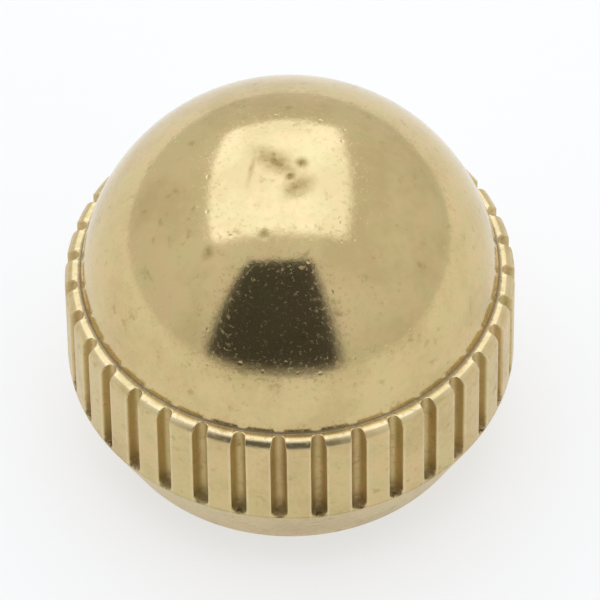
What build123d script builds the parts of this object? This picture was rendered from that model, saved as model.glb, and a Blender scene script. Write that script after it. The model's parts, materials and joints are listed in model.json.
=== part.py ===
"""A solid brass knurled knob, turned from bar in one piece and tapped for an 8-32 screw.

Millimetres and degrees. The origin is the middle of the flat base, and +Z runs up the axis
to the top of the dome. The coarse straight knurl has one groove on the +X axis.
"""

import os
from math import asin, cos, degrees, radians, sin, tan

from build123d import *

os.makedirs("parts", exist_ok=True)

# Knurled band: the gripping surface, and the widest part of the knob.
band_diameter = 12.7
band_height = 3.28
band_bevel = 0.18  # on the band's upper edge

# Plain taper from the band down to the base.
taper_height = 2.16
taper_angle = 25.6  # half angle, from the axis
base_bevel = 0.1

# Polished dome, standing inside the band's upper edge on a flat ledge.
ledge_width = 0.44  # from the band's surface in to the foot of the dome
dome_height = 5.26  # above the ledge

# Knurl: straight round-bottomed grooves, open at the ledge and closed above the taper.
groove_count = 35
groove_depth = 0.36  # in from the band's surface, most of the way across the ledge
groove_root_radius = 0.17
groove_wall_flare = 13.4  # each wall leans out from the radius, so the groove is 0.44 wide
groove_end_bevel = 0.13  # rounds off each groove's closed end
groove_land = 0.04  # plain surface left between a groove's end and the taper

# Blind tapped hole, 8-32 UNC. The solid has the tap drill's bore.
tap_drill_diameter = 3.45
bore_depth = 7.4  # straight part, from the base
drill_point_angle = 118.0
countersink_diameter = 4.6
countersink_angle = 90.0

# Heights and radii of the turned form.
band_radius = band_diameter / 2
base_radius = band_radius - taper_height * tan(radians(taper_angle))
ledge_z = taper_height + band_height
dome_foot_radius = band_radius - ledge_width
dome_top_z = ledge_z + dome_height
dome_radius = (dome_foot_radius**2 + dome_height**2) / (2 * dome_height)
dome_centre_z = dome_top_z - dome_radius
dome_foot_angle = degrees(asin((ledge_z - dome_centre_z) / dome_radius))

# A groove's section: a round root, and straight walls that leave it on a tangent.
root_axis_radius = band_radius - groove_depth + groove_root_radius
flare = radians(groove_wall_flare)
wall_foot = (root_axis_radius - groove_root_radius * sin(flare), groove_root_radius * cos(flare))
wall_end_x = band_radius + 0.2
wall_end = (wall_end_x, wall_foot[1] + (wall_end_x - wall_foot[0]) * tan(flare))
groove_end_z = taper_height + groove_land

bore_radius = tap_drill_diameter / 2
drill_point_height = bore_radius / tan(radians(drill_point_angle / 2))


# The cutter of one groove: the groove's section with a bevelled lower end, drawn up past the ledge.
with BuildPart() as groove_cutter:
    with BuildSketch(Plane.XY.offset(groove_end_z)):
        with Locations((root_axis_radius, 0)):
            Circle(groove_root_radius)
        with BuildLine():
            Polyline(
                wall_foot,
                wall_end,
                (wall_end[0], -wall_end[1]),
                (wall_foot[0], -wall_foot[1]),
                close=True,
            )
        make_face()
    extrude(amount=ledge_z + 0.2 - groove_end_z)
    chamfer(groove_cutter.faces().sort_by(Axis.Z)[0].edges(), length=groove_end_bevel)


with BuildPart() as knurled_knob:
    # The turned form: one half of its section, from the base up the outside and over the dome.
    with BuildSketch(Plane.XZ) as half_section:
        with BuildLine():
            Polyline(
                (0, dome_top_z),
                (0, 0),
                (base_radius, 0),
                (band_radius, taper_height),
                (band_radius, ledge_z),
                (dome_foot_radius, ledge_z),
            )
            CenterArc((0, dome_centre_z), dome_radius, dome_foot_angle, 90 - dome_foot_angle)
        make_face()
        base_corner = half_section.vertices().group_by(Axis.Y)[0].sort_by(Axis.X)[-1]
        chamfer(base_corner, length=base_bevel)
        band_upper_corner = half_section.vertices().group_by(Axis.X)[-1].sort_by(Axis.Y)[-1]
        chamfer(band_upper_corner, length=band_bevel)
    revolve(axis=Axis.Z)

    # The straight knurl, all round the band.
    with PolarLocations(0, groove_count):
        add(groove_cutter.part, mode=Mode.SUBTRACT)

    # The blind hole, up from the base: drilled, countersunk and ready for its thread.
    with Locations(Plane.XY.rotated((180, 0, 0))):
        CounterSinkHole(
            radius=bore_radius,
            counter_sink_radius=countersink_diameter / 2,
            depth=bore_depth,
            counter_sink_angle=countersink_angle,
        )
    with Locations((0, 0, bore_depth + drill_point_height / 2)):
        Cone(
            bottom_radius=bore_radius,
            top_radius=0,
            height=drill_point_height,
            mode=Mode.SUBTRACT,
        )

knurled_knob.part.label = "knurled_knob"
export_step(knurled_knob.part, "parts/knurled_knob.step")
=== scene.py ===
"""A solid brass knurled knob, turned and tapped, on a pale floor inside a white light tent."""

import json
from math import cos, pi, radians, sin, tan

import bmesh
import bpy
import numpy as np
from mathutils import Matrix, Vector


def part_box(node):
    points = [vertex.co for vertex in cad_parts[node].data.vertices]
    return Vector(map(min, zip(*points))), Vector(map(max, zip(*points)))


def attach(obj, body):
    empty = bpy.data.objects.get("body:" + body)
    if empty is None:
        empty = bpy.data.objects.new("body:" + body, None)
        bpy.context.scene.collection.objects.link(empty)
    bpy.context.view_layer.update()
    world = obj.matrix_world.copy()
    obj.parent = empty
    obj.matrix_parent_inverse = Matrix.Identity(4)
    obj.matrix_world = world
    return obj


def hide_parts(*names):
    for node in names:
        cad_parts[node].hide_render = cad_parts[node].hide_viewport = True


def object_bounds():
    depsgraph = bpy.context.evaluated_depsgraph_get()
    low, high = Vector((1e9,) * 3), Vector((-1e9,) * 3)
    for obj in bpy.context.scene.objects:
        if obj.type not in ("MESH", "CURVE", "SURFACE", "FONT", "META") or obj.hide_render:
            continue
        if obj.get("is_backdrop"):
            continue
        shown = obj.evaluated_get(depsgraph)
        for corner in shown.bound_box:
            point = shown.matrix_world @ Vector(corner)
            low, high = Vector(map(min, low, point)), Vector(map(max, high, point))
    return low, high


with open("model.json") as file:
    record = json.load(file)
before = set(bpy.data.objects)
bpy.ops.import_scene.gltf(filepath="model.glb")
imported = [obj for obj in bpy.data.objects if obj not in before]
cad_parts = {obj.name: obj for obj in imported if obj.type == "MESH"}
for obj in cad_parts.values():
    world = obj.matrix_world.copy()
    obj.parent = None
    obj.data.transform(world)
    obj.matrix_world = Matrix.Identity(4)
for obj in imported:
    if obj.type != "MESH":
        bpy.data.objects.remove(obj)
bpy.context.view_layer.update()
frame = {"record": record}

# ------------------------------------------------------------------ sizes, metres and radians
MM = 0.001
KNOB = "knurled_knob"

# The turned form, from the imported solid's box and the driving dimensions of its source.
box_low, box_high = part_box(KNOB)
band_radius = max(box_high.x, box_high.y, -box_low.x, -box_low.y)
dome_top_z = box_high.z
taper_height = 2.16 * MM
taper_angle = radians(25.6)
ledge_z = taper_height + 3.28 * MM
ledge_width = 0.44 * MM
base_radius = band_radius - taper_height * tan(taper_angle)
dome_foot_radius = band_radius - ledge_width
dome_height = dome_top_z - ledge_z
dome_radius = (dome_foot_radius**2 + dome_height**2) / (2 * dome_height)
dome_centre_z = dome_top_z - dome_radius
dome_foot_polar = pi / 2 - np.arcsin((ledge_z - dome_centre_z) / dome_radius)

# Edges, as the tool and the polishing wheel leave them.
band_upper_round = 0.32 * MM
band_lower_round = 0.22 * MM
dome_foot_round = 0.05 * MM
base_edge_round = 0.12 * MM
mouth_edge_round = 0.05 * MM

# The knurl.
groove_count = 35
groove_depth = 0.36 * MM
groove_root_radius = 0.17 * MM
groove_wall_flare = radians(13.4)
groove_edge_round = 0.04 * MM
groove_end_z = taper_height + 0.04 * MM
groove_end_length = 0.20 * MM  # over which a groove runs out at its closed end
pitch = 2 * pi / groove_count

# The tapped hole: 8-32 UNC, in the bore that the record states.
tapped = next(m for m in frame["record"]["mounts"] if m["name"] == "tapped_hole")
bore_radius = tapped["dims"]["r_mm"] * MM
bore_start_z = 2.3 * MM - bore_radius
bore_end_z = bore_start_z + tapped["dims"]["length_mm"] * MM
mouth_radius = 2.3 * MM
thread_major_radius = 2.083 * MM
thread_pitch = 25.4 * MM / 32
drill_half_angle = radians(59)


# ------------------------------------------------------------------ mesh helpers
def unit(v):
    return v / np.hypot(*v)


def rounded(before, corner, after, radius, steps):
    """Points of an arc that rounds the corner of before-corner-after, first and last tangent."""
    before, corner, after = (np.array(p, float) for p in (before, corner, after))
    u, v = unit(before - corner), unit(after - corner)
    half = np.arccos(np.clip(u @ v, -1, 1)) / 2
    centre = corner + unit(u + v) * radius / sin(half)
    a = corner + u * radius / tan(half) - centre
    b = corner + v * radius / tan(half) - centre
    turn = np.arctan2(a[0] * b[1] - a[1] * b[0], a @ b)
    made = []
    for i in range(steps + 1):
        t = turn * i / steps
        made.append(
            (centre[0] + a[0] * cos(t) - a[1] * sin(t), centre[1] + a[0] * sin(t) + a[1] * cos(t))
        )
    return made


class Skin:
    """A closed skin of rings round the axis, from the top of the dome to the drill point."""

    def __init__(self):
        self.points = []
        self.faces = []
        self.marks = []  # for each point: (in a groove, rubbed edge with its painted highlight, inside the hole, stained)

    def ring(self, angles, radii, heights, marks=(0.0, 0.0, 0.0, 0.0)):
        first = len(self.points)
        radii = np.broadcast_to(radii, angles.shape)
        heights = np.broadcast_to(heights, angles.shape)
        self.points.extend(
            np.stack([radii * np.cos(angles), radii * np.sin(angles), heights], 1).tolist()
        )
        marks = np.broadcast_to(np.array(marks, float), (len(angles), 4))
        self.marks.extend(marks.tolist())
        return list(range(first, first + len(angles)))

    def tip(self, height, marks=(0.0, 0.0, 0.0, 0.0)):
        self.points.append([0.0, 0.0, height])
        self.marks.append(list(marks))
        return len(self.points) - 1

    def bridge(self, upper, lower):
        """Quads between two rings with the same number of points."""
        n = len(upper)
        self.faces.extend(
            (upper[j], lower[j], lower[(j + 1) % n], upper[(j + 1) % n]) for j in range(n)
        )

    def stitch(self, upper, lower, upper_angles, lower_angles):
        """Triangles between two rings with different numbers of points."""
        a = b = 0
        n, m = len(upper), len(lower)
        turn_a = np.append(upper_angles, upper_angles[0] + 2 * pi)
        turn_b = np.append(lower_angles, lower_angles[0] + 2 * pi)
        while a < n or b < m:
            if b == m or (a < n and turn_a[a + 1] <= turn_b[b + 1]):
                self.faces.append((upper[a], lower[b % m], upper[(a + 1) % n]))
                a += 1
            else:
                self.faces.append((upper[a % n], lower[b], lower[(b + 1) % m]))
                b += 1


def even(count):
    return np.arange(count) * 2 * pi / count


# ------------------------------------------------------------------ the dome
# Each ding: place, half sizes along and across, direction, depth, all in mm and degrees,
# and how dark the tarnish in it is.
dings = [
    (0.38, -0.50, 0.15, 0.13, 0, 0.012, 1.0),
    (0.09, -0.94, 0.14, 0.12, 20, 0.016, 1.0),
    (0.28, -1.25, 0.36, 0.24, 35, 0.010, 0.8),
    (-0.36, -0.42, 0.55, 0.26, -38, 0.010, 0.8),
    (-1.00, -0.62, 0.46, 0.07, 78, 0.006, 0.45),
    (-0.64, -2.58, 0.13, 0.10, 0, 0.012, 0.7),
    (-2.20, -2.78, 0.12, 0.12, 0, 0.012, 0.7),
]


def dome_dent(x, y, z):
    """How far the polished dome lies under a true sphere, by slow waviness and the dings, and
    how dark their tarnish is."""
    k = 1 / MM
    wave = (
        np.sin(1.7 * k * x + 0.6) * np.cos(1.3 * k * y - 0.4)
        + 0.7 * np.sin(2.3 * k * y + 1.1 * k * z)
        + 0.5 * np.cos(2.9 * k * x - 1.9 * k * z + 0.8)
    )
    depth = 0.0012 * MM * (2.2 + wave)
    stain = 0.0 * depth
    for px, py, along, across, direction, deep, dark in dings:
        c, s = cos(radians(direction)), sin(radians(direction))
        dx, dy = x * k - px, y * k - py
        q = ((dx * c + dy * s) / along) ** 2 + ((dy * c - dx * s) / across) ** 2
        depth = depth + deep * MM * np.exp(-q * 1.4)
        stain = np.maximum(stain, dark * np.exp(-q * 0.6))
    return depth, stain


def fade(v, low, high):
    t = np.clip((v - low) / (high - low), 0, 1)
    return t * t * (3 - 2 * t)


skin = Skin()
top_dent, top_stain = dome_dent(0.0, 0.0, dome_top_z)
top = skin.tip(dome_top_z - float(top_dent), (0.0, 0.0, 0.0, float(top_stain)))
arcs = np.concatenate([np.arange(1, 60) * 0.044, 2.596 + np.arange(1, 56) * 0.1078]) * MM
arcs = arcs[arcs < dome_radius * dome_foot_polar - 0.09 * MM]
last, last_angles = None, None
for arc in arcs:
    polar = arc / dome_radius
    count = 32 if arc < 0.1 * MM else 72 if arc < 0.31 * MM else 144 if arc < 0.8 * MM else 288
    angles = even(count)
    x, y = dome_radius * sin(polar) * np.cos(angles), dome_radius * sin(polar) * np.sin(angles)
    z = dome_centre_z + dome_radius * cos(polar)
    near_foot = 1 - fade(polar, dome_foot_polar - 0.06, dome_foot_polar - 0.02)
    dent, stain = dome_dent(x, y, z)
    r = dome_radius - dent * near_foot
    marks = np.stack([0 * r, 0 * r, 0 * r, stain * near_foot], 1)
    ring = skin.ring(angles, r * sin(polar), dome_centre_z + r * cos(polar), marks)
    if last is None:
        for j in range(count):
            skin.faces.append((top, ring[j], ring[(j + 1) % count]))
    elif len(last) == count:
        skin.bridge(last, ring)
    else:
        skin.stitch(last, ring, last_angles, angles)
    last, last_angles = ring, angles

# ------------------------------------------------------------------ the knurled band
rng = np.random.default_rng(35)
groove_size = 1 + rng.uniform(-0.05, 0.05, groove_count)
groove_shift = rng.uniform(-0.012, 0.012, groove_count) * MM / band_radius
groove_sink = rng.uniform(-0.012, 0.012, groove_count) * MM
groove_stop = rng.uniform(-0.03, 0.02, groove_count) * MM

# Columns across one pitch, closest together where the groove's walls and edges turn.
half_pitch_width = band_radius * pitch / 2
across = [0, 0.06, 0.11, 0.145, 0.165, 0.178, 0.192, 0.206, 0.217, 0.226, 0.238, 0.255, 0.3, 0.42]
across = np.array(across) * MM
column_offsets = np.concatenate([-across[:0:-1], across, [half_pitch_width]]) / band_radius
column_groove = np.repeat(np.arange(groove_count), len(column_offsets))
column_local = np.tile(column_offsets, groove_count)
column_angles = column_groove * pitch + column_local
order = np.argsort(column_angles)
column_angles = column_angles[order]
column_groove = column_groove[order]
column_local = column_local[order] - groove_shift[column_groove]


def groove_outline(height):
    """The band's radius at each column, cut by the grooves, at one height.

    A groove is a round root, two straight flared walls and rounded edges; towards its closed
    end it shrinks to nothing.
    """
    end = groove_end_z + np.maximum(groove_stop, -0.02 * MM)
    run_out = np.clip((end + groove_end_length - height) / groove_end_length, 0, 1)
    size = np.sqrt(1 - run_out**2)[column_groove]
    x = np.abs(column_local) / np.maximum(size, 0.02)
    root = groove_root_radius * groove_size[column_groove]
    centre = band_radius - groove_depth + root + groove_sink[column_groove]
    flare, e = groove_wall_flare, groove_edge_round
    foot = np.arctan2(root * cos(flare), centre - root * sin(flare))
    on_root = centre * np.cos(x) - np.sqrt(np.clip(root**2 - (centre * np.sin(x)) ** 2, 0, None))
    on_wall = (centre * sin(flare) - root) / np.sin(np.maximum(flare - x, 0.05))
    edge = flare + np.arcsin((root + e - centre * sin(flare)) / (band_radius - e))
    ex, ey = (band_radius - e) * np.cos(edge), (band_radius - e) * np.sin(edge)
    brink = np.arctan2(ey - e * cos(flare), ex + e * sin(flare))
    along = ex * np.cos(x) + ey * np.sin(x)
    on_edge = along + np.sqrt(np.clip(e**2 - ex**2 - ey**2 + along**2, 0, None))
    r = np.where(x >= edge, band_radius, on_edge)
    r = np.where(x < brink, on_wall, r)
    r = np.where(x < foot, on_root, r)
    return band_radius - size * np.clip(band_radius - r, 0, None)


corner = (dome_foot_radius, ledge_z)
wall_up = (
    dome_foot_radius - 0.5 * MM * cos(dome_foot_polar),
    ledge_z + 0.5 * MM * sin(dome_foot_polar),
)
lower_corner = (band_radius, taper_height)
base_corner = (base_radius, 0.0)
profile = rounded(wall_up, corner, (band_radius, ledge_z), dome_foot_round, 4)
profile += [(5.97 * MM, ledge_z)]
profile += rounded(corner, (band_radius, ledge_z), lower_corner, band_upper_round, 8)
straight_top = ledge_z - band_upper_round
run_out_z = groove_end_z + groove_end_length
profile += [(band_radius, straight_top - 0.05 * MM)]
profile += [
    (band_radius, straight_top + (run_out_z - straight_top) * t)
    for t in (0.2, 0.4, 0.6, 0.8, 0.93)
]
profile += [
    (band_radius, run_out_z + 0.01 * MM - (groove_end_length + 0.012 * MM) * sin(radians(a)))
    for a in (0, 12, 24, 36, 48, 59, 69, 78, 85)
]
profile += rounded((band_radius, ledge_z), lower_corner, base_corner, band_lower_round, 4)

band_rings = []
for i, (r, z) in enumerate(profile):
    cut = groove_outline(z)
    radii = np.minimum(r, cut)
    depth = np.clip((band_radius - cut) / (0.2 * MM), 0, 1)
    below = np.clip((r - radii) / (0.05 * MM), 0, 1)
    # The teeth's edges and the band's upper edge: rubbed, and lightened in the brass below as a
    # painted highlight.
    from_tooth_edge = np.abs(np.abs(column_local) * band_radius - 0.25 * MM)
    tooth_edge = np.clip(1 - from_tooth_edge / (0.05 * MM), 0, 1)
    upper_edge = 1 - min(abs(z - (ledge_z - 0.07 * MM)) / (0.16 * MM), 1)
    rub_and_highlight = np.maximum(tooth_edge * (1 - below), upper_edge * (1 - below) * (r > 6.1 * MM))
    marks = np.stack([depth * below, rub_and_highlight, 0 * depth, 0 * depth], 1)
    band_rings.append(skin.ring(column_angles, radii, z, marks))
skin.stitch(last, band_rings[0], last_angles, column_angles)
for upper, lower in zip(band_rings, band_rings[1:]):
    skin.bridge(upper, lower)

# ------------------------------------------------------------------ taper, base and hole
angles = even(288)
outline = [
    (lower_corner[0] + (base_corner[0] - lower_corner[0]) * t, taper_height * (1 - t))
    for t in (0.05, 0.09, 0.15, 0.25, 0.4, 0.55, 0.7, 0.82, 0.9)
]
outline += rounded(lower_corner, base_corner, (0, 0), base_edge_round, 6)
outline += [(r * MM, 0.0) for r in (5.12, 5.06, 4.9, 4.5, 4.0, 3.4, 2.9, 2.6, 2.45, 2.38)]
outline += rounded((3.0 * MM, 0), (mouth_radius, 0), (bore_radius, bore_start_z), mouth_edge_round, 4)
rings = [skin.ring(angles, r, z) for r, z in outline]
skin.stitch(band_rings[-1], rings[0], column_angles, angles)
for upper, lower in zip(rings, rings[1:]):
    skin.bridge(upper, lower)

# The thread: rows that follow the helix, pressed together at both ends into level rings.
hole_columns = 96
hole_angles = even(hole_columns)
root_half, crest_half = thread_pitch / 16, 0.1408 * MM
flank = np.array([0.0, 0.08, 0.3, 0.7, 0.92, 1.0])
steps = [0.0, crest_half * 0.55]
heights_in = [0.0, 0.0]
flank_length = thread_pitch / 2 - crest_half - root_half
for f in flank:
    steps.append(crest_half + flank_length * f)
    heights_in.append(f)
steps += [thread_pitch / 2]
heights_in += [1.0]
steps = np.array(steps + [thread_pitch - s for s in steps[-2:0:-1]])
heights_in = np.array(heights_in + heights_in[-2:0:-1])
heights_in = heights_in * heights_in * (3 - 2 * heights_in) * 0.25 + heights_in * 0.75

level_start = 0.06 * MM
level_end = 6.75 * MM
turns = int((level_end - level_start) / thread_pitch) + 2
rows = len(steps) * turns + 1
squeeze = 0.0015 * MM
last = rings[-1]
last_angles = angles
for i in range(rows):
    turn, place = divmod(i, len(steps))
    z = level_start - thread_pitch + turn * thread_pitch + steps[place]
    z = z + thread_pitch * hole_angles / (2 * pi)
    cut = np.full(hole_columns, heights_in[place])
    z = np.maximum(z, level_start + squeeze * i)
    z = np.minimum(z, level_end - squeeze * (rows - i))
    fading = 1 - fade(z, 5.1 * MM, 6.4 * MM)
    r = bore_radius + (thread_major_radius - bore_radius) * cut * fading
    r = np.maximum(r, mouth_radius - z)
    inside = fade(z, 0.1 * MM, 2.5 * MM)
    marks = np.stack([cut * fading, 0 * z, inside, 0 * z], 1)
    ring = skin.ring(hole_angles, r, z, marks)
    if i == 0:
        skin.stitch(last, ring, last_angles, hole_angles)
    else:
        skin.bridge(last, ring)
    last = ring
for r, z in [(bore_radius, 7.0 * MM), (bore_radius, bore_end_z - 0.02 * MM)] + [
    (bore_radius * t, bore_end_z + bore_radius * (1 - t) / tan(drill_half_angle))
    for t in (0.985, 0.8, 0.55, 0.3, 0.1)
]:
    ring = skin.ring(hole_angles, r, z, (0.0, 0.0, 1.0, 0.0))
    skin.bridge(last, ring)
    last = ring
point = skin.tip(bore_end_z + bore_radius / tan(drill_half_angle), (0.0, 0.0, 1.0, 0.0))
for j in range(hole_columns):
    skin.faces.append((last[j], point, last[(j + 1) % hole_columns]))

mesh = bpy.data.meshes.new("knob_turned")
mesh.from_pydata(skin.points, [], skin.faces)
mesh.validate()
mesh.update()
for name, column in (("groove", 0), ("rubbed_and_highlight", 1), ("inside", 2), ("stained", 3)):
    layer = mesh.attributes.new(name, "FLOAT", "POINT")
    layer.data.foreach_set("value", np.array(skin.marks, np.float32)[:, column].copy())
knob = bpy.data.objects.new("knob_turned", mesh)
bpy.context.scene.collection.objects.link(knob)
work = bmesh.new()
work.from_mesh(mesh)
bmesh.ops.recalc_face_normals(work, faces=work.faces)
work.to_mesh(mesh)
work.free()
mesh.shade_smooth()
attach(knob, "root")
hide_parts(KNOB)


# ------------------------------------------------------------------ node helpers
class Graph:
    """Short names for the nodes that one material needs."""

    def __init__(self, name):
        self.material = bpy.data.materials.new(name)
        self.material.use_nodes = True
        self.nodes = self.material.node_tree.nodes
        self.links = self.material.node_tree.links
        self.nodes.clear()

    def feed(self, socket, value):
        if isinstance(value, bpy.types.NodeSocket):
            self.links.new(value, socket)
        elif value is not None:
            socket.default_value = value

    def add(self, kind, out=0, settings=None, **inputs):
        node = self.nodes.new(kind)
        for key, value in (settings or {}).items():
            setattr(node, key, value)
        for key, value in inputs.items():
            self.feed(node.inputs[key.replace("_", " ")], value)
        return node.outputs[out]

    def math(self, operation, a, b=None, c=None, clamp=False):
        node = self.nodes.new("ShaderNodeMath")
        node.operation = operation
        node.use_clamp = clamp
        for socket, value in zip(node.inputs, (a, b, c)):
            self.feed(socket, value)
        return node.outputs[0]

    def vector(self, operation, a, b=None, scale=None, out=0):
        node = self.nodes.new("ShaderNodeVectorMath")
        node.operation = operation
        self.feed(node.inputs[0], a)
        self.feed(node.inputs[1], b)
        if scale is not None:
            self.feed(node.inputs["Scale"], scale)
        return node.outputs[out]

    def ramp(self, value, low, high, smooth=True):
        """0 below low, 1 above high."""
        node = self.nodes.new("ShaderNodeMapRange")
        node.interpolation_type = "SMOOTHSTEP" if smooth else "LINEAR"
        self.feed(node.inputs["Value"], value)
        node.inputs["From Min"].default_value = low
        node.inputs["From Max"].default_value = high
        return node.outputs[0]

    def noise(self, vector, scale, detail=2.0, roughness=0.5, distortion=0.0):
        return self.add(
            "ShaderNodeTexNoise",
            Vector=vector,
            Scale=scale,
            Detail=detail,
            Roughness=roughness,
            Distortion=distortion,
        )

    def mix(self, factor, a, b):
        node = self.nodes.new("ShaderNodeMix")
        node.data_type = "RGBA"
        self.feed(node.inputs["Factor"], factor)
        self.feed(node.inputs[6], a)
        self.feed(node.inputs[7], b)
        return node.outputs[2]

    def bump(self, height, distance, strength=1.0, normal=None):
        node = self.nodes.new("ShaderNodeBump")
        self.feed(node.inputs["Height"], height)
        node.inputs["Distance"].default_value = distance
        node.inputs["Strength"].default_value = strength
        if normal is not None:
            self.links.new(normal, node.inputs["Normal"])
        return node.outputs[0]


# ------------------------------------------------------------------ brass
g = Graph("brass")
place = g.add("ShaderNodeTexCoord", out="Object")
place = g.vector("SCALE", place, scale=1000.0)  # millimetres
parts = g.nodes.new("ShaderNodeSeparateXYZ")
g.feed(parts.inputs[0], place)
px, py, pz = parts.outputs
radius = g.math("SQRT", g.math("ADD", g.math("MULTIPLY", px, px), g.math("MULTIPLY", py, py)))

in_groove = g.add("ShaderNodeAttribute", out="Fac", settings={"attribute_name": "groove"})
inside = g.add("ShaderNodeAttribute", out="Fac", settings={"attribute_name": "inside"})
stained = g.add("ShaderNodeAttribute", out="Fac", settings={"attribute_name": "stained"})
rubbed_and_highlight = g.add("ShaderNodeAttribute", out="Fac", settings={"attribute_name": "rubbed_and_highlight"})
below_dome = g.math("SUBTRACT", 1.0, g.ramp(pz, 5.43, 5.46))

cloud = g.noise(place, 0.55, 3, 0.55)
blotch = g.noise(g.vector("ADD", place, (7.0, 3.0, 1.0)), 2.2, 3, 0.55)
grain = g.noise(place, 4.5, 3, 0.6)
fine = g.noise(place, 14.0, 2, 0.5)

# Metal colour: pale yellow brass, with a warmer thin tarnish in clouds and small brown stains.
tarnish = g.ramp(g.math("ADD", cloud, g.math("MULTIPLY", grain, 0.25)), 0.52, 0.80)
hue = g.ramp(g.noise(g.vector("ADD", place, (3.0, 9.0, 5.0)), 1.3, 4, 0.6), 0.38, 0.62)
clean = g.mix(hue, (0.625, 0.515, 0.248, 1), (0.665, 0.505, 0.258, 1))
metal = g.mix(g.math("MULTIPLY", tarnish, 0.65), clean, (0.53, 0.40, 0.185, 1))
spots = g.ramp(g.math("ADD", blotch, g.math("MULTIPLY", fine, 0.12)), 0.66, 0.80)
spots = g.math("MULTIPLY", spots, 0.35)
ragged = g.math("MULTIPLY", stained, g.math("ADD", 0.45, g.math("MULTIPLY", grain, 1.1)))
brown = g.math("MAXIMUM", spots, g.ramp(ragged, 0.08, 0.85, smooth=False))
metal = g.mix(g.math("MULTIPLY", brown, 0.85), metal, (0.22, 0.138, 0.036, 1))
# Fingers keep the teeth's edges bright; the lighter brass there is real wear and also a painted
# highlight.
wear_and_highlight = g.ramp(g.math("ADD", blotch, g.math("MULTIPLY", grain, 0.3)), 0.42, 0.72)
wear_and_highlight = g.math("MULTIPLY", rubbed_and_highlight, wear_and_highlight)
metal = g.mix(g.math("MULTIPLY", wear_and_highlight, 0.7), metal, (0.74, 0.62, 0.38, 1))

# Painted shade with dirt: dull brown in the grooves, at their closed ends, in the thread, deeper in
# the hole and in the crease where the dome meets the ledge; the grain adds dirt at random.
hollow_shade_and_dirt = g.math("MULTIPLY", in_groove, g.math("SUBTRACT", 1.0, g.ramp(pz, 4.7, 5.3)))
hollow_shade_and_dirt = g.math("MULTIPLY", hollow_shade_and_dirt, 0.06)
# Painted shade, with dirt, at the grooves' closed ends.
groove_end_shade = g.math("SUBTRACT", 1.0, g.ramp(pz, 2.24, 2.38))
groove_end_shade = g.math("MULTIPLY", groove_end_shade, g.ramp(in_groove, 0.0, 0.3))
hollow_shade_and_dirt = g.math("ADD", hollow_shade_and_dirt, g.math("MULTIPLY", groove_end_shade, 0.85))
# Painted shade, with dirt, in the crease at the dome's foot.
crease_radius, crease_height = 5.93, 5.45
from_foot = g.math("ABSOLUTE", g.math("SUBTRACT", radius, crease_radius))
from_ledge = g.math("ABSOLUTE", g.math("SUBTRACT", pz, crease_height))
crease_shade = g.math("SUBTRACT", 1.0, g.ramp(from_foot, 0.02, 0.09))
crease_shade = g.math("MULTIPLY", crease_shade, g.math("SUBTRACT", 1.0, g.ramp(from_ledge, 0.02, 0.10)))
hollow_shade_and_dirt = g.math("MAXIMUM", hollow_shade_and_dirt, g.math("MULTIPLY", crease_shade, 1.2))
# Painted shade, with dirt, growing deeper into the hole.
hollow_shade_and_dirt = g.math("ADD", hollow_shade_and_dirt, g.math("MULTIPLY", inside, 0.35))
dirt_and_shade = g.ramp(g.math("ADD", hollow_shade_and_dirt, g.math("MULTIPLY", grain, 0.5)), 0.35, 2.2, smooth=False)
dirt_and_shade = g.math("MULTIPLY", dirt_and_shade, 0.9)
# Dull dark brown for the painted shade and the dirt.
colour = g.mix(dirt_and_shade, metal, (0.17, 0.112, 0.07, 1))

# Finish: polished on the dome with dull specks, plainer below and at the dome's foot, where
# the polishing wheel doesn't reach.
specks = g.ramp(g.noise(place, 9.0, 2, 0.6), 0.52, 0.74)
roughness = g.math("ADD", 0.08, g.math("MULTIPLY", grain, 0.06))
roughness = g.math("ADD", roughness, g.math("MULTIPLY", specks, 0.22))
roughness = g.math("ADD", roughness, g.math("MULTIPLY", brown, 0.20))
foot = g.math("SUBTRACT", 1.0, g.ramp(pz, 5.46, 5.85))
low = g.math("SUBTRACT", 1.0, g.ramp(pz, 5.32, 5.44))
roughness = g.math("ADD", roughness, g.math("MULTIPLY", foot, 0.10))
roughness = g.math("ADD", roughness, g.math("MULTIPLY", low, 0.13))
roughness = g.math("ADD", roughness, g.math("MULTIPLY", dirt_and_shade, 0.4))
roughness = g.math("ADD", roughness, g.math("MULTIPLY", in_groove, 0.2))
roughness = g.math("SUBTRACT", roughness, g.math("MULTIPLY", wear_and_highlight, 0.03))

rings = g.add("ShaderNodeCombineXYZ", X=g.math("MULTIPLY", radius, 9.0), Y=g.math("MULTIPLY", pz, 9.0))
turned = g.noise(rings, 1.0, 3, 0.6)
cells = g.nodes.new("ShaderNodeTexVoronoi")
g.feed(cells.inputs["Vector"], place)
g.feed(cells.inputs["Scale"], 3.2)
chance = g.nodes.new("ShaderNodeSeparateColor")
g.feed(chance.inputs[0], cells.outputs["Color"])
pits = g.math("SUBTRACT", 1.0, g.ramp(cells.outputs["Distance"], 0.06, 0.26))
pits = g.math("MULTIPLY", pits, g.ramp(chance.outputs[0], 0.66, 0.76))
normal = g.bump(grain, 2.2e-6)
normal = g.bump(fine, 0.3e-6, normal=normal)
normal = g.bump(g.math("SUBTRACT", 1.0, pits), 3e-6, normal=normal)
normal = g.bump(g.math("MULTIPLY", turned, below_dome), 1.3e-6, normal=normal)

surface = g.nodes.new("ShaderNodeBsdfPrincipled")
g.feed(surface.inputs["Metallic"], g.math("SUBTRACT", 1.0, g.math("MULTIPLY", dirt_and_shade, 0.6)))
g.feed(surface.inputs["Base Color"], colour)
g.feed(surface.inputs["Roughness"], roughness)
g.feed(surface.inputs["Normal"], normal)
output = g.nodes.new("ShaderNodeOutputMaterial")
g.links.new(surface.outputs["BSDF"], output.inputs["Surface"])
mesh.materials.append(g.material)


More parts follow.
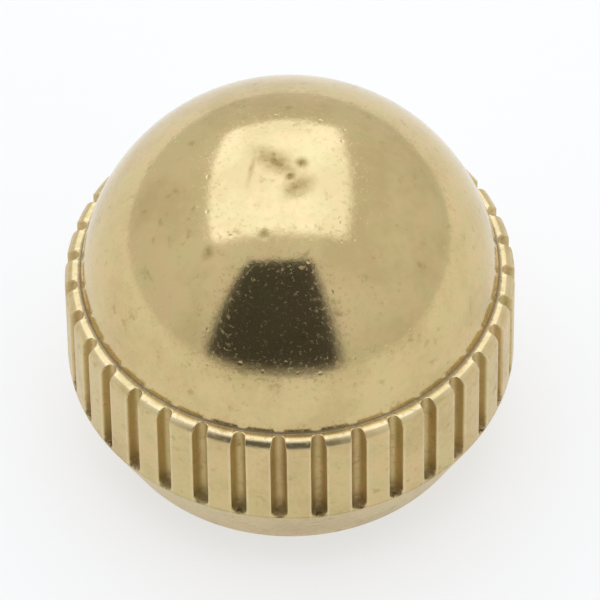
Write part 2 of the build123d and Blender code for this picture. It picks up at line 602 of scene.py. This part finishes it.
# ------------------------------------------------------------------ plain floor and soft light
def stage_object(name, points, faces, hidden=()):
    made = bpy.data.meshes.new(name)
    made.from_pydata(points, [], faces)
    obj = bpy.data.objects.new(name, made)
    bpy.context.scene.collection.objects.link(obj)
    for kind in hidden:
        setattr(obj, "visible_" + kind, False)
    obj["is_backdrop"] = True
    return obj


def soft_box(u, v, u0, u1, v0, v1, soft):
    """1 inside a rectangle and 0 outside it, with soft edges."""
    inside_u = fade(u, u0 - soft / 2, u0 + soft / 2) * (1 - fade(u, u1 - soft / 2, u1 + soft / 2))
    inside_v = fade(v, v0 - soft / 2, v0 + soft / 2) * (1 - fade(v, v1 - soft / 2, v1 + soft / 2))
    return inside_u * inside_v


# One plain pale floor, which the camera and the brass see alike: white acrylic, lit from below.
floor = stage_object("floor", [(-1, -1, 0), (1, -1, 0), (1, 1, 0), (-1, 1, 0)], [(0, 1, 2, 3)])
g = Graph("pale_floor")
surface = g.nodes.new("ShaderNodeBsdfPrincipled")
surface.inputs["Base Color"].default_value = (0.33, 0.326, 0.31, 1)
surface.inputs["Roughness"].default_value = 0.9
surface.inputs["Emission Color"].default_value = (1, 1, 1, 1)
surface.inputs["Emission Strength"].default_value = 0.63
output = g.nodes.new("ShaderNodeOutputMaterial")
g.links.new(surface.outputs["BSDF"], output.inputs["Surface"])
g.material.cycles.emission_sampling = "NONE"
floor.data.materials.append(g.material)

# A tent of white cloth for soft light: a little darker at its foot, one sheet in its roof that
# a cool white lamp lights, and one dark opening in front.
az = np.radians(np.arange(240) * 1.5 - 180)
el = np.radians(np.linspace(-4, 90, 64)[:-1])
ga, ge = np.meshgrid(az, el)
tent_radius = 0.5
points = np.stack(
    [np.sin(ga) * np.cos(ge), -np.cos(ga) * np.cos(ge), np.sin(ge)], -1
).reshape(-1, 3) * tent_radius
m = len(az)
faces = [
    (j * m + i, (j + 1) * m + i, (j + 1) * m + (i + 1) % m, j * m + (i + 1) % m)
    for j in range(len(el) - 1)
    for i in range(m)
]
points = np.vstack([points, [0, 0, tent_radius]])
last_row = (len(el) - 1) * m
faces += [(last_row + i, len(points) - 1, last_row + (i + 1) % m) for i in range(m)]
tent = stage_object("light_tent", points.tolist(), faces, hidden=["camera"])
x, y, z = (points / tent_radius).T
cloth = 0.79 + 0.08 * fade(z, 0.0, 0.7)
roof = soft_box(x / np.maximum(z, 0.05), y / np.maximum(z, 0.05), -0.85, 0.60, -0.20, 1.85, 0.1)
ahead = np.maximum(-y, 0.05)
opening = soft_box(x / ahead, z / ahead, -0.92, 0.50, 0.03, 2.05, 0.20) * (y < 0)
light = np.ones((len(points), 3)) * cloth[:, None]
light = light + roof[:, None] * ((1.58, 1.70, 1.98) - light)
light = light + opening[:, None] * (0.075 - light)
layer = tent.data.color_attributes.new("light", "FLOAT_COLOR", "POINT")
light = np.column_stack([light, np.ones(len(points))])
layer.data.foreach_set("color", light.astype(np.float32).ravel())
g = Graph("lit_cloth")
surface = g.nodes.new("ShaderNodeEmission")
g.feed(surface.inputs["Color"], g.add("ShaderNodeAttribute", settings={"attribute_name": "light"}))
surface.inputs["Strength"].default_value = 1.0
output = g.nodes.new("ShaderNodeOutputMaterial")
g.links.new(surface.outputs["Emission"], output.inputs["Surface"])
g.material.cycles.emission_sampling = "NONE"
tent.data.materials.append(g.material)

world = bpy.data.worlds.new("studio")
bpy.context.scene.world = world
world.use_nodes = True
world.node_tree.nodes["Background"].inputs["Color"].default_value = (1, 1, 1, 1)
world.node_tree.nodes["Background"].inputs["Strength"].default_value = 0.9

# ------------------------------------------------------------------ camera
elevation, azimuth, roll = radians(50.63), radians(0.93), radians(-0.78)
back = Vector((sin(azimuth) * cos(elevation), -cos(azimuth) * cos(elevation), sin(elevation)))
right = Vector((cos(azimuth), sin(azimuth), 0))
up = back.cross(right)
right, up = right * cos(roll) + up * sin(roll), up * cos(roll) - right * sin(roll)
aim = Vector((0, 0, ledge_z)) + right * 0.29 * MM - up * 0.861 * MM
camera_data = bpy.data.cameras.new("camera")
camera_data.sensor_width = 36
camera_data.lens = 475.8
camera_data.clip_start = 0.01
camera_data.clip_end = 10
camera = bpy.data.objects.new("camera", camera_data)
bpy.context.scene.collection.objects.link(camera)
camera.matrix_world = Matrix.Translation(aim + back * 223.5 * MM) @ Matrix(
    (
        (right.x, up.x, back.x, 0),
        (right.y, up.y, back.y, 0),
        (right.z, up.z, back.z, 0),
        (0, 0, 0, 1),
    )
)
bpy.context.scene.camera = camera
bpy.context.scene.view_settings.view_transform = "Standard"
bpy.context.scene.view_settings.look = "None"

low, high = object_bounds()
